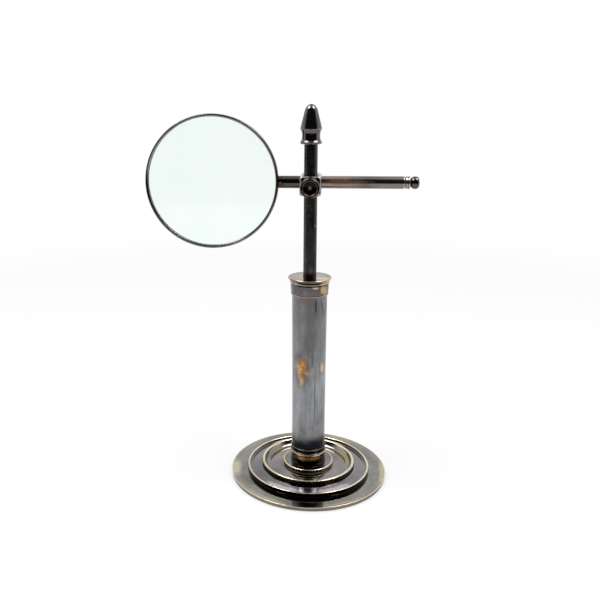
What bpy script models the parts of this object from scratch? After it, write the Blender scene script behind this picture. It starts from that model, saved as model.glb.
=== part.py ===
"""Desk magnifying glass on a turned brass stand, as separate parts.

Metres, +Z up. The origin is the centre of the underside, on the axis of the post. The arm runs along X with
the lens at -X, and the clamping knob faces -Y.
"""

import math

import bmesh
import bpy
from mathutils import Vector

MM = 0.001

# Fit between neighbouring pieces.
GAP = 0.3

# Base.
BASE_R = 60.3
BASE_TOP_Z = 3.2
TIER_1_R = 47.4
TIER_1_FLOOR_Z = 5.6
TIER_1_CREST_Z = 7.0
TIER_2_R = 36.0
TIER_2_DISH_Z = 7.2
TIER_2_CREST_Z = 10.4
TIER_3_R = 19.4
TIER_3_TOP_Z = 10.2

# Column.
TUBE_R = 12.75
TUBE_TOP_R = 13.3
TUBE_BORE_R = 11.5
TUBE_FOOT_Z = 23.9
TUBE_TOP_Z = 154.0
SKIRT_FOOT_Z = 145.6
CAP_R = 16.45
CAP_TOP_Z = 158.7

# Post.
POST_R = 5.0
POST_FOOT_Z = 137.6
POST_TOP_Z = 257.6
FINIAL_FOOT_Z = 257.9
FINIAL_TOP_Z = 287.0

# Clamp block, crossed by the post and, behind it, by the arm.
BLOCK_Z = 228.0
BLOCK_HALF_W = 7.95
BLOCK_HALF_H = 7.4
BLOCK_FRONT_Y = -10.0
BLOCK_BACK_Y = 21.0
POST_BUSH_R = 6.1
ARM_R = 4.75
ARM_Y = 13.2
ARM_Z = 228.8
ARM_BUSH_R = 5.5

# Knob and its screw.
KNOB_R = 7.0
KNOB_BACK_Y = -10.5
KNOB_FRONT_Y = -22.4
SCREW_R = 2.5

# Arm ends.
ROD_LEFT_X = -21.1
ROD_RIGHT_X = 69.1
SADDLE_RIGHT_X = -21.4
STUD_BORE_DEPTH = 6.6

# Lens and its ring.
LENS_X = -76.0
RING_R = 51.5
RING_EDGE_X = LENS_X + RING_R
RING_HALF_DEPTH = 3.5
RING_LIP_R = 49.25
RING_SEAT_R = 50.35
LENS_R = 50.05
LENS_EDGE_FRONT = 1.5
LENS_EDGE_BACK = -0.7
LENS_SAG = 3.8

# Finishes: colour, metallic, roughness.
BRONZE = ((0.055, 0.046, 0.040), 1.0, 0.24)
DARK_BRONZE = ((0.030, 0.026, 0.024), 1.0, 0.22)
TUBE_GREY = ((0.180, 0.178, 0.180), 1.0, 0.32)
BRASS = ((0.640, 0.460, 0.210), 1.0, 0.25)
STEEL = ((0.450, 0.450, 0.460), 1.0, 0.35)
IRON = ((0.060, 0.060, 0.060), 0.9, 0.60)
FELT = ((0.020, 0.045, 0.025), 0.0, 0.95)
GLASS = ((0.900, 0.970, 0.940), 0.0, 0.02)


def clear_scene():
    for obj in list(bpy.data.objects):
        bpy.data.objects.remove(obj, do_unlink=True)


def add_material(obj, finish):
    colour, metallic, roughness = finish
    material = bpy.data.materials.new(obj.name)
    material.use_nodes = True
    shader = material.node_tree.nodes["Principled BSDF"]
    shader.inputs["Base Color"].default_value = (*colour, 1.0)
    shader.inputs["Metallic"].default_value = metallic
    shader.inputs["Roughness"].default_value = roughness
    if finish is GLASS:
        shader.inputs["Transmission Weight"].default_value = 1.0
    obj.data.materials.append(material)


def new_object(name, mesh, finish, origin, rotation):
    obj = bpy.data.objects.new(name, mesh)
    bpy.context.scene.collection.objects.link(obj)
    obj.location = Vector(origin) * MM
    obj.rotation_euler = rotation
    if finish:
        add_material(obj, finish)
    return obj


def turned(name, profile, finish, steps, origin=(0, 0, 0), axis="Z"):
    """A turned piece. The profile is (radius, height) in mm, down the outer side. A ring closes on itself."""
    is_ring = profile[0][0] > 0 and profile[-1][0] > 0
    mesh = bpy.data.meshes.new(name)
    points = [(radius * MM, 0, height * MM) for radius, height in profile]
    edges = [(i, i + 1) for i in range(len(points) - 1)]
    if is_ring:
        edges.append((len(points) - 1, 0))
    mesh.from_pydata(points, edges, [])
    rotation = {"Z": (0, 0, 0), "X": (0, math.pi / 2, 0), "-Y": (math.pi / 2, 0, 0)}[axis]
    obj = new_object(name, mesh, finish, origin, rotation)
    screw = obj.modifiers.new("turn", "SCREW")
    screw.steps = steps
    screw.render_steps = steps
    screw.use_merge_vertices = True
    screw.merge_threshold = 0.00001
    screw.use_smooth_shade = True
    return obj


def box_mesh(name, low, high):
    mesh = bpy.data.meshes.new(name)
    work = bmesh.new()
    bmesh.ops.create_cube(work, size=1.0)
    low = Vector(low) * MM
    high = Vector(high) * MM
    for vertex in work.verts:
        vertex.co = Vector(low[i] if vertex.co[i] < 0 else high[i] for i in range(3))
    work.to_mesh(mesh)
    work.free()
    return mesh


def cylinder_mesh(name, radius, low, high, sides):
    mesh = bpy.data.meshes.new(name)
    work = bmesh.new()
    bmesh.ops.create_cone(
        work,
        cap_ends=True,
        segments=sides,
        radius1=radius * MM,
        radius2=radius * MM,
        depth=(high - low) * MM,
    )
    bmesh.ops.translate(work, verts=work.verts, vec=(0, 0, (high + low) / 2 * MM))
    work.to_mesh(mesh)
    work.free()
    return mesh


def cutter(name, mesh, origin=(0, 0, 0), axis="Z"):
    rotation = {"Z": (0, 0, 0), "X": (0, math.pi / 2, 0), "-Y": (math.pi / 2, 0, 0)}[axis]
    obj = bpy.data.objects.new(name, mesh)
    CUTTERS.objects.link(obj)
    obj.location = Vector(origin) * MM
    obj.rotation_euler = rotation
    obj.hide_render = True
    obj.display_type = "WIRE"
    return obj


def cut(obj, tool):
    modifier = obj.modifiers.new(tool.name, "BOOLEAN")
    modifier.operation = "DIFFERENCE"
    modifier.solver = "EXACT"
    modifier.object = tool


def hex_nut(name, across_flats, bore_r, low, high, finish, origin=(0, 0, 0)):
    mesh = cylinder_mesh(name, across_flats / math.sqrt(3), low, high, 6)
    obj = new_object(name, mesh, finish, origin, (0, 0, 0))
    chamfer = obj.modifiers.new("chamfer", "BEVEL")
    chamfer.width = 0.25 * MM
    chamfer.segments = 1
    bore = cutter(name + "_bore", cylinder_mesh(name + "_bore", bore_r, low - 1, high + 1, 24), origin)
    cut(obj, bore)
    return obj


def build_base():
    turned(
        "base_plate",
        [
            (BASE_R, BASE_TOP_Z - 0.5),
            (BASE_R, 0.8),
            (BASE_R - 0.5, GAP),
            (50.4, GAP),
            (50.4, 1.6),
            (28.3, 1.6),
            (28.3, 4.4),
            (8.9, 4.4),
            (8.9, 6.8),
            (3.4, 6.8),
            (3.4, 8.2),
            (10.0, 8.2),
            (10.0, 5.6),
            (29.5, 5.6),
            (29.5, BASE_TOP_Z),
            (BASE_R - 0.5, BASE_TOP_Z),
        ],
        BRONZE,
        48,
    )
    turned("felt_pad", [(0, 1.3), (50.0, 1.3), (50.0, 0), (0, 0)], FELT, 48)
    turned("base_weight", [(27.9, 4.1), (27.9, 1.6), (9.3, 1.6), (9.3, 4.1)], IRON, 48)
    turned("base_washer", [(7.8, 6.5), (7.8, 5.7), (3.4, 5.7), (3.4, 6.5)], STEEL, 24)
    hex_nut("base_nut", 10.0, 3.3, 2.0, 5.4, STEEL)
    turned(
        "tier_ring_1",
        [
            (TIER_1_R - 0.6, TIER_1_CREST_Z),
            (TIER_1_R, TIER_1_CREST_Z - 0.5),
            (TIER_1_R, BASE_TOP_Z + GAP),
            (29.9, BASE_TOP_Z + GAP),
            (29.9, TIER_1_FLOOR_Z),
            (TIER_1_R - 1.9, TIER_1_FLOOR_Z),
            (TIER_1_R - 1.6, TIER_1_FLOOR_Z + 0.6),
            (TIER_1_R - 1.2, TIER_1_CREST_Z),
        ],
        BRONZE,
        48,
    )
    turned(
        "tier_ring_2",
        [
            (TIER_2_R - 0.5, TIER_2_CREST_Z),
            (TIER_2_R, TIER_2_CREST_Z - 0.5),
            (TIER_2_R, TIER_1_FLOOR_Z + GAP),
            (10.4, TIER_1_FLOOR_Z + GAP),
            (10.4, TIER_2_DISH_Z + 0.2),
            (19.7, TIER_2_DISH_Z + 0.2),
            (22.0, TIER_2_DISH_Z),
            (25.0, TIER_2_DISH_Z + 0.1),
            (28.0, TIER_2_DISH_Z + 0.4),
            (31.2, TIER_2_DISH_Z + 1.0),
            (33.4, TIER_2_DISH_Z + 1.8),
            (33.9, TIER_2_DISH_Z + 2.4),
            (TIER_2_R - 1.6, TIER_2_CREST_Z),
        ],
        BRONZE,
        48,
    )
    turned(
        "tier_ring_3",
        [
            (TIER_3_R - 0.5, TIER_3_TOP_Z),
            (TIER_3_R, TIER_3_TOP_Z - 0.5),
            (TIER_3_R, TIER_2_DISH_Z + 0.5),
            (10.4, TIER_2_DISH_Z + 0.5),
            (10.4, 8.6),
            (3.4, 8.6),
            (3.4, TIER_3_TOP_Z),
        ],
        BRONZE,
        40,
    )


def build_column():
    turned("tie_rod", [(0, 129.0), (2.6, 129.0), (3.0, 128.5), (3.0, 1.9), (2.6, 1.6), (0, 1.6)], STEEL, 20)
    turned(
        "column_ferrule",
        [
            (13.3, 22.6),
            (12.95, 22.0),
            (12.95, 20.5),
            (13.5, 20.0),
            (13.95, 19.3),
            (13.95, 18.8),
            (13.5, 18.1),
            (13.2, 17.8),
            (13.2, 10.9),
            (13.5, TIER_3_TOP_Z + GAP),
            (3.4, TIER_3_TOP_Z + GAP),
            (3.4, 12.5),
            (9.6, 12.5),
            (9.6, 29.6),
            (11.2, 29.6),
            (11.2, 23.6),
            (13.0, 23.6),
            (13.35, 23.1),
        ],
        DARK_BRONZE,
        40,
    )
    turned(
        "column_tube",
        [
            (TUBE_TOP_R, TUBE_TOP_Z),
            (TUBE_TOP_R, 139.0),
            (13.1, 115.0),
            (12.9, 86.0),
            (TUBE_R, 50.0),
            (TUBE_R, TUBE_FOOT_Z),
            (TUBE_BORE_R, TUBE_FOOT_Z),
            (TUBE_BORE_R, TUBE_TOP_Z),
        ],
        TUBE_GREY,
        40,
    )
    turned(
        "cap_skirt",
        [
            (14.5, 154.4),
            (14.45, 151.5),
            (14.2, 146.6),
            (14.2, 146.0),
            (14.1, SKIRT_FOOT_Z),
            (13.65, SKIRT_FOOT_Z),
            (13.65, 154.4),
        ],
        BRONZE,
        40,
    )
    turned(
        "column_cap",
        [
            (CAP_R - 0.4, CAP_TOP_Z),
            (CAP_R, CAP_TOP_Z - 0.5),
            (CAP_R - 0.2, CAP_TOP_Z - 1.3),
            (15.5, 156.8),
            (14.9, 156.2),
            (14.8, 155.8),
            (15.05, 155.4),
            (15.05, 155.0),
            (14.8, 154.7),
            (11.2, 154.7),
            (11.2, 147.5),
            (POST_R + GAP, 147.5),
            (POST_R + GAP, CAP_TOP_Z),
        ],
        BRONZE,
        40,
    )
    hex_nut("coupling_nut", 13.0, 3.3, 113.3, 137.3, BRASS)


def build_post():
    turned(
        "post",
        [
            (2.3, POST_TOP_Z),
            (POST_R - 0.3, POST_TOP_Z),
            (POST_R, POST_TOP_Z - 0.3),
            (POST_R, POST_FOOT_Z),
            (3.0, POST_FOOT_Z),
            (3.0, 129.7),
            (2.6, 129.3),
            (0, 129.3),
            (0, 249.8),
            (2.3, 249.8),
        ],
        DARK_BRONZE,
        28,
    )
    stud = [(0, 267.2), (1.7, 267.2), (2.0, 266.9), (2.0, 250.4), (1.7, 250.1), (0, 250.1)]
    turned("finial_stud", stud, STEEL, 16)
    turned(
        "finial",
        [
            (0, FINIAL_TOP_Z),
            (1.3, 286.75),
            (2.4, 286.1),
            (3.5, 285.0),
            (4.4, 283.5),
            (5.0, 281.7),
            (8.05, 269.5),
            (8.05, 269.0),
            (7.3, 267.9),
            (6.8, 266.4),
            (6.7, 264.6),
            (6.85, 262.7),
            (7.3, 261.1),
            (7.85, 259.8),
            (8.0, 259.3),
            (7.85, 258.6),
            (7.3, 258.2),
            (5.4, FINIAL_FOOT_Z),
            (2.3, FINIAL_FOOT_Z),
            (2.3, 267.5),
            (0, 267.5),
        ],
        DARK_BRONZE,
        32,
    )


def build_clamp():
    slot_half = 0.5
    bush = turned(
        "post_bush",
        [(POST_BUSH_R, 7.1), (POST_BUSH_R, -7.1), (POST_R + GAP, -7.1), (POST_R + GAP, 7.1)],
        BRASS,
        32,
        (0, 0, BLOCK_Z),
    )
    slot = cutter(
        "post_bush_slot", box_mesh("post_bush_slot", (3, -slot_half, -9), (8, slot_half, 9)), (0, 0, BLOCK_Z)
    )
    cut(bush, slot)

    block = new_object(
        "clamp_block",
        box_mesh(
            "clamp_block",
            (-BLOCK_HALF_W, BLOCK_FRONT_Y, -BLOCK_HALF_H),
            (BLOCK_HALF_W, BLOCK_BACK_Y, BLOCK_HALF_H),
        ),
        DARK_BRONZE,
        (0, 0, BLOCK_Z),
        (0, 0, 0),
    )
    rounding = block.modifiers.new("rounding", "BEVEL")
    rounding.width = 1.1 * MM
    rounding.segments = 2
    post_bore = cutter(
        "post_bore", cylinder_mesh("post_bore", POST_BUSH_R + GAP, -10, 10, 32), (0, 0, BLOCK_Z)
    )
    cut(block, post_bore)
    arm_bore = cutter(
        "arm_bore", cylinder_mesh("arm_bore", ARM_BUSH_R + GAP, -10, 10, 32), (0, ARM_Y, ARM_Z), "X"
    )
    cut(block, arm_bore)
    screw_bore = cutter(
        "screw_bore", cylinder_mesh("screw_bore", SCREW_R + GAP, 5.0, 12.0, 24), (0, 0, BLOCK_Z), "-Y"
    )
    cut(block, screw_bore)
    grub_bore = cutter(
        "grub_bore", cylinder_mesh("grub_bore", 1.8, -23.0, -17.5, 20), (0, 0, ARM_Z), "-Y"
    )
    cut(block, grub_bore)

    turned(
        "pressure_pad",
        [(0, 7.7), (2.1, 7.7), (2.3, 7.5), (2.3, 6.8), (2.0, 6.5), (0, 6.5)],
        BRASS,
        20,
        (0, 0, BLOCK_Z),
        "-Y",
    )
    turned(
        "clamp_screw",
        [(0, 18.2), (2.1, 18.2), (SCREW_R, 17.8), (SCREW_R, 8.4), (2.1, 8.0), (0, 8.0)],
        STEEL,
        20,
        (0, 0, BLOCK_Z),
        "-Y",
    )
    front = -KNOB_FRONT_Y
    back = -KNOB_BACK_Y
    turned(
        "clamp_knob",
        [
            (0, front - 0.9),
            (3.2, front - 0.8),
            (5.3, front - 0.3),
            (5.7, front),
            (6.0, front),
            (6.25, front - 0.4),
            (6.5, front - 0.5),
            (6.9, front - 0.7),
            (KNOB_R, front - 1.1),
            (KNOB_R, back + 0.5),
            (KNOB_R - 0.5, back),
            (SCREW_R + GAP, back),
            (SCREW_R + GAP, 18.5),
            (0, 18.5),
        ],
        DARK_BRONZE,
        32,
        (0, 0, BLOCK_Z),
        "-Y",
    )
    grub = turned(
        "arm_grub",
        [(0, -19.3), (1.2, -19.3), (1.5, -19.6), (1.5, -21.2), (1.3, -21.4), (0, -21.4)],
        STEEL,
        16,
        (0, 0, ARM_Z),
        "-Y",
    )
    driver = cutter(
        "grub_slot", box_mesh("grub_slot", (-2.5, -0.25, -22.0), (2.5, 0.25, -20.9)), (0, 0, ARM_Z), "-Y"
    )
    cut(grub, driver)


def build_arm():
    bush = turned(
        "arm_bush",
        [(ARM_BUSH_R, 7.7), (ARM_BUSH_R, -7.7), (ARM_R + GAP, -7.7), (ARM_R + GAP, 7.7)],
        BRASS,
        32,
        (0, ARM_Y, ARM_Z),
        "X",
    )
    slot = cutter(
        "arm_bush_slot", box_mesh("arm_bush_slot", (-8, -0.5, -9), (-3, 0.5, 9)), (0, ARM_Y, ARM_Z), "X"
    )
    cut(bush, slot)
    on_arm = (0, ARM_Y, ARM_Z)
    turned(
        "arm_rod",
        [
            (1.8, ROD_RIGHT_X),
            (ARM_R - 0.3, ROD_RIGHT_X),
            (ARM_R, ROD_RIGHT_X - 0.3),
            (ARM_R, ROD_LEFT_X),
            (1.8, ROD_LEFT_X),
            (1.8, ROD_LEFT_X + STUD_BORE_DEPTH),
            (0, ROD_LEFT_X + STUD_BORE_DEPTH),
            (0, ROD_RIGHT_X - 7.6),
            (1.8, ROD_RIGHT_X - 7.6),
        ],
        BRONZE,
        28,
        on_arm,
        "X",
    )
    turned(
        "arm_collar",
        [
            (4.5, 73.4),
            (4.9, 73.0),
            (4.9, 72.4),
            (4.4, 71.9),
            (4.85, 71.4),
            (4.85, 70.8),
            (4.4, 70.3),
            (4.2, 69.4),
            (1.8, 69.4),
            (1.8, 73.4),
        ],
        BRONZE,
        28,
        on_arm,
        "X",
    )
    turned(
        "arm_ball",
        [
            (0, 80.4),
            (2.6, 80.2),
            (3.8, 79.6),
            (4.5, 78.5),
            (4.75, 77.3),
            (4.55, 76.1),
            (3.9, 75.0),
            (3.1, 74.2),
            (2.9, 73.7),
            (1.8, 73.7),
            (1.8, 77.6),
            (0, 77.6),
        ],
        DARK_BRONZE,
        28,
        on_arm,
        "X",
    )
    turned("ball_stud", [(0, 77.3), (1.5, 77.3), (1.5, 61.8), (0, 61.8)], STEEL, 16, on_arm, "X")


def build_lens():
    on_arm = (0, ARM_Y, ARM_Z)
    on_lens = (LENS_X, ARM_Y, ARM_Z)
    saddle = turned(
        "lens_saddle",
        [
            (ARM_R - 0.2, SADDLE_RIGHT_X),
            (ARM_R, SADDLE_RIGHT_X - 0.2),
            (ARM_R, RING_EDGE_X - 1.4),
            (1.8, RING_EDGE_X - 1.4),
            (1.8, SADDLE_RIGHT_X),
        ],
        DARK_BRONZE,
        28,
        on_arm,
        "X",
    )
    ring_envelope = cutter(
        "ring_envelope", cylinder_mesh("ring_envelope", RING_R + GAP, -9, 9, 96), on_lens, "-Y"
    )
    cut(saddle, ring_envelope)
    pin_x = RING_EDGE_X + 1.4
    pin_hole = cutter(
        "pin_hole",
        cylinder_mesh("pin_hole", 0.8, -ARM_Y + 1.0, -ARM_Y + 7.0, 16),
        (pin_x, 0, ARM_Z),
        "-Y",
    )
    cut(saddle, pin_hole)
    turned(
        "saddle_pin",
        [(0, 5.05), (0.3, 4.95), (0.5, 4.7), (0.5, 2.1), (0, 2.1)],
        BRASS,
        12,
        (pin_x, ARM_Y, ARM_Z),
        "-Y",
    )
    stud_right = ROD_LEFT_X + STUD_BORE_DEPTH - GAP
    stud_left = RING_EDGE_X - 0.8
    stud = [(0, stud_right), (1.5, stud_right), (1.5, stud_left), (0, stud_left)]
    turned("lens_stud", stud, STEEL, 16, on_arm, "X")
    ring = turned(
        "lens_ring",
        [
            (RING_R - 0.6, RING_HALF_DEPTH),
            (RING_R, RING_HALF_DEPTH - 0.6),
            (RING_R, -RING_HALF_DEPTH + 0.3),
            (RING_R - 0.3, -RING_HALF_DEPTH),
            (RING_SEAT_R, -RING_HALF_DEPTH),
            (RING_SEAT_R, LENS_EDGE_FRONT + GAP),
            (RING_LIP_R, LENS_EDGE_FRONT + GAP),
            (RING_LIP_R, RING_HALF_DEPTH - 0.4),
            (RING_LIP_R + 0.4, RING_HALF_DEPTH),
        ],
        BRONZE,
        72,
        on_lens,
        "-Y",
    )
    hole = cylinder_mesh("stud_hole", 1.8, RING_EDGE_X - 3.4, RING_EDGE_X + 2.6, 20)
    stud_hole = cutter("stud_hole", hole, on_arm, "X")
    cut(ring, stud_hole)
    turned(
        "lens_retainer",
        [
            (LENS_R, LENS_EDGE_BACK - GAP),
            (LENS_R, -3.2),
            (RING_LIP_R, -3.2),
            (RING_LIP_R - 0.1, LENS_EDGE_BACK - GAP),
        ],
        BRASS,
        64,
        on_lens,
        "-Y",
    )
    rings = 5
    front = [
        (LENS_R * i / rings, LENS_EDGE_FRONT + LENS_SAG * (1 - (i / rings) ** 2)) for i in range(rings + 1)
    ]
    back = [(radius, LENS_EDGE_BACK - (height - LENS_EDGE_FRONT)) for radius, height in reversed(front)]
    turned("lens", front + back, GLASS, 56, on_lens, "-Y")


def empty_at(name, origin):
    obj = bpy.data.objects.new(name, None)
    bpy.context.scene.collection.objects.link(obj)
    obj.location = Vector(origin) * MM
    return obj


def parent_to(parent, names):
    bpy.context.view_layer.update()
    for name in names:
        child = bpy.data.objects[name]
        child.parent = parent
        child.matrix_parent_inverse = parent.matrix_world.inverted()


def build_joints():
    """Empties on the joint axes. Each moving piece, with its own origin on the axis, follows one of them."""
    height = empty_at("height_slide", (0, 0, BLOCK_Z))
    swivel = empty_at("block_swivel", (0, 0, BLOCK_Z))
    travel = empty_at("pad_travel", (0, 0, BLOCK_Z))
    turn = empty_at("knob_turn", (0, 0, BLOCK_Z))
    tilt = empty_at("lens_tilt", (0, ARM_Y, ARM_Z))
    reach = empty_at("arm_slide", (0, ARM_Y, ARM_Z))
    parent_to(height, ["post_bush", "block_swivel"])
    parent_to(swivel, ["clamp_block", "arm_grub", "pad_travel", "lens_tilt"])
    parent_to(travel, ["pressure_pad", "knob_turn"])
    parent_to(turn, ["clamp_screw", "clamp_knob"])
    parent_to(tilt, ["arm_bush", "arm_slide"])
    parent_to(
        reach,
        [
            "arm_rod",
            "arm_collar",
            "arm_ball",
            "ball_stud",
            "lens_saddle",
            "saddle_pin",
            "lens_stud",
            "lens_ring",
            "lens_retainer",
            "lens",
        ],
    )


clear_scene()
bpy.context.scene.unit_settings.system = "METRIC"
bpy.context.scene.unit_settings.scale_length = 1.0
CUTTERS = bpy.data.collections.new("cutters")
bpy.context.scene.collection.children.link(CUTTERS)
CUTTERS.hide_render = True
build_base()
build_column()
build_post()
build_clamp()
build_arm()
build_lens()
build_joints()
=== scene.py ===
"""Looks of the desk magnifying glass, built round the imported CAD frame.

Metres, +Z up. Outlines are in millimetres and hang on the boxes of the CAD nodes. Each point of an outline
carries its wear: 0 keeps the dark patina and 1 is rubbed down to bare brass.
"""

import math

import bmesh
import bpy
import numpy as np
from mathutils import Matrix, Vector


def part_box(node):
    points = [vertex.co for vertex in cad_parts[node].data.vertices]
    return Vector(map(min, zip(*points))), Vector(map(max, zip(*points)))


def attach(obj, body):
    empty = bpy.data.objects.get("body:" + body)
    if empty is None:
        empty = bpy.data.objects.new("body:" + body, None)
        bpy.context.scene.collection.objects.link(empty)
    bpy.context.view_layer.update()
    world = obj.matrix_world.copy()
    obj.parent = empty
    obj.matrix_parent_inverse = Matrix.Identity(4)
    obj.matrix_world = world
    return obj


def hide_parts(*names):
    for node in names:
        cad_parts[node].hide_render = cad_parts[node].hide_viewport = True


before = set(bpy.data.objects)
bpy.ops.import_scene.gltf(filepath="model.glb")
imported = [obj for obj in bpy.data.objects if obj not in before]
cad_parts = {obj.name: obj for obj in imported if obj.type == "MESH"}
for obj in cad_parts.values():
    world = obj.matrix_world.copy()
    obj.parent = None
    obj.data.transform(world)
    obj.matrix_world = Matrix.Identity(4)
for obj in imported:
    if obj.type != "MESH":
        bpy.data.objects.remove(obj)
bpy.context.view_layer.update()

MM = 0.001
GAP = 0.3

# Camera, in millimetres and degrees.
EYE = (13.96, -533.0, 289.16)
LOOK_DOWN = 10.841
TURN_LEFT = 6.296
ROLL = -0.351
LENS_MM = 43.335
SHIFT = (0.0823, -0.1009)

# Bare and covered metal, as linear colours.
BRASS = (0.72, 0.50, 0.23)
CREAM = (0.78, 0.64, 0.43)
PALE_CREAM = (0.92, 0.84, 0.68)
COPPER = (0.55, 0.27, 0.16)
ROSE = (0.34, 0.24, 0.20)
SILVER = (0.62, 0.62, 0.60)

# Studio: a floor that fades out between two radii, and a room that mirrored rays find dark on the knob's
# side. The room turns white over a band of the direction's Y, and lighter over a band of its Z.
FLOOR_R = 1.9
FLOOR_FADE = (0.62, 1.1)
FLOOR_ALBEDO = 0.2
FLOOR_GLOW = 0.62
DARK_ROOM = 0.02
DARK_SIDE = (-0.42, -0.05)
CEILING = (0.80, 0.95)
CEILING_GLOW = 0.75
SOFTBOX_SIZE = (0.8, 0.7)
SOFTBOX_WATTS = 16.0

# Bores and spigots that several pieces share, as radii.
TIE_BORE_R = 3.4
RING_BORE_R = 10.4
SPIGOT_R = 11.2
TUBE_BORE_R = 11.5
FINIAL_BORE_R = 2.3
STUD_BORE_R = 1.8
SCREW_BORE_R = 2.8


# ---------------------------------------------------------------- outlines


def span(node):
    """Lowest and highest corner of a CAD node, in millimetres."""
    low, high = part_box(node)
    return low / MM, high / MM


def rounded(corners, steps=7, fade=0.5):
    """Corners (radius, height, fillet, wear), each rounded by an arc. The wear fades out past the arc. A
    fillet and a wear of 0 may be left out."""
    corners = [(*c, 0, 0)[:4] for c in corners]
    made = [(*corners[0][:2], corners[0][3])]
    for before, corner, after in zip(corners, corners[1:], corners[2:]):
        at = Vector(corner[:2])
        back = Vector(before[:2]) - at
        ahead = Vector(after[:2]) - at
        fillet, wear = corner[2:]
        angle = back.angle(ahead)
        run = min(fillet / math.tan(angle / 2), 0.45 * back.length, 0.45 * ahead.length)
        if run < 1e-4:
            made.append((*at, wear))
            continue
        back_unit = back.normalized()
        ahead_unit = ahead.normalized()
        radius = run * math.tan(angle / 2)
        centre = at + (back_unit + ahead_unit).normalized() * (radius / math.sin(angle / 2))
        start = at + back_unit * run - centre
        end = at + ahead_unit * run - centre
        sweep = start.angle_signed(end)
        lead = min(fade, 0.5 * (back.length - run))
        made.append((*(at + back_unit * (run + lead)), 0.0))
        for i in range(steps + 1):
            turned_by = -sweep * i / steps
            made.append((*(centre + Matrix.Rotation(turned_by, 2) @ start), wear))
        tail = min(fade, 0.5 * (ahead.length - run))
        made.append((*(at + ahead_unit * (run + tail)), 0.0))
    made.append((*corners[-1][:2], corners[-1][3]))
    return made


def closed(corners):
    """A rounded outline that closes on itself."""
    return rounded([*corners, corners[0]])[:-1]


def curve(points, per_span=8):
    """A smooth curve through points (radius, height, wear). A wear of 0 may be left out."""
    knots = [Vector((*p, 0)[:3]) for p in points]
    knots = [2 * knots[0] - knots[1], *knots, 2 * knots[-1] - knots[-2]]
    made = []
    for a, b, c, d in zip(knots, knots[1:], knots[2:], knots[3:]):
        square = 2 * a - 5 * b + 4 * c - d
        cube = 3 * b - a - 3 * c + d
        for i in range(per_span):
            t = i / per_span
            made.append(0.5 * (2 * b + (c - a) * t + square * t**2 + cube * t**3))
    made.append(knots[-2])
    return [(max(p[0], 0.0), p[1], min(max(p[2], 0.0), 1.0)) for p in made]


# ---------------------------------------------------------------- meshes


AXES = {
    "Z": Matrix.Identity(3),
    "X": Matrix(((0, 0, 1), (0, 1, 0), (-1, 0, 0))),
    "-Y": Matrix(((1, 0, 0), (0, 0, -1), (0, 1, 0))),
}


def placed(name, data):
    """A new object in the scene."""
    obj = bpy.data.objects.new(name, data)
    bpy.context.scene.collection.objects.link(obj)
    return obj


def linked(name, work):
    """The scene object of a bmesh."""
    mesh = bpy.data.meshes.new(name)
    work.to_mesh(mesh)
    work.free()
    return placed(name, mesh)


def finish_mesh(name, mesh, wear, material, body, nodes):
    """Makes the piece of a mesh, smooth but for its sharp edges, and hands it to the frame."""
    work = bmesh.new()
    work.from_mesh(mesh)
    bmesh.ops.recalc_face_normals(work, faces=work.faces)
    work.to_mesh(mesh)
    work.free()
    mesh.shade_smooth()
    mesh.set_sharp_from_angle(angle=math.radians(32))
    attribute = mesh.attributes.new("wear", "FLOAT", "POINT")
    attribute.data.foreach_set("value", np.asarray(wear, np.float32))
    mesh.materials.append(material)
    obj = placed(name, mesh)
    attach(obj, body)
    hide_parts(*nodes)
    return obj


def turned(
    name, outline, material, body, nodes, axis="Z", origin=(0, 0, 0), steps=192, gap=0.0, shape=None
):
    """A turned piece. The outline runs down the outer side; a ring closes on itself. gap, in degrees, leaves
    a slot. shape, where given, changes the radius of a point from its radius, height and angle."""
    outline = [p for i, p in enumerate(outline) if i == 0 or math.dist(p[:2], outline[i - 1][:2]) > 1e-4]
    is_ring = outline[0][0] > 0 and outline[-1][0] > 0
    first = math.radians(gap / 2)
    turn = 2 * math.pi - 2 * first
    columns = steps + 1 if gap else steps
    verts = []
    wear = []
    places = {}
    for j in range(columns):
        angle = first + turn * j / steps
        for i, (radius, height, worn) in enumerate(outline):
            if radius <= 0 and j:
                places[i, j] = places[i, 0]
                continue
            places[i, j] = len(verts)
            if shape:
                radius = shape(radius, height, angle)
            point = AXES[axis] @ Vector((radius * math.cos(angle), radius * math.sin(angle), height))
            verts.append((point + Vector(origin)) * MM)
            wear.append(worn)
    faces = []
    rows = len(outline) if is_ring else len(outline) - 1
    for j in range(columns - 1 if gap else columns):
        k = (j + 1) % columns
        for i in range(rows):
            n = (i + 1) % len(outline)
            corners = [places[i, j], places[n, j], places[n, k], places[i, k]]
            face = [c for m, c in enumerate(corners) if c not in corners[:m]]
            if len(face) > 2:
                faces.append(face)
    if gap:
        faces.append([places[i, 0] for i in range(len(outline))])
        faces.append([places[i, columns - 1] for i in reversed(range(len(outline)))])
    mesh = bpy.data.meshes.new(name)
    mesh.from_pydata(verts, [], faces)
    return finish_mesh(name, mesh, wear, material, body, nodes)


# ---------------------------------------------------------------- materials


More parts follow.
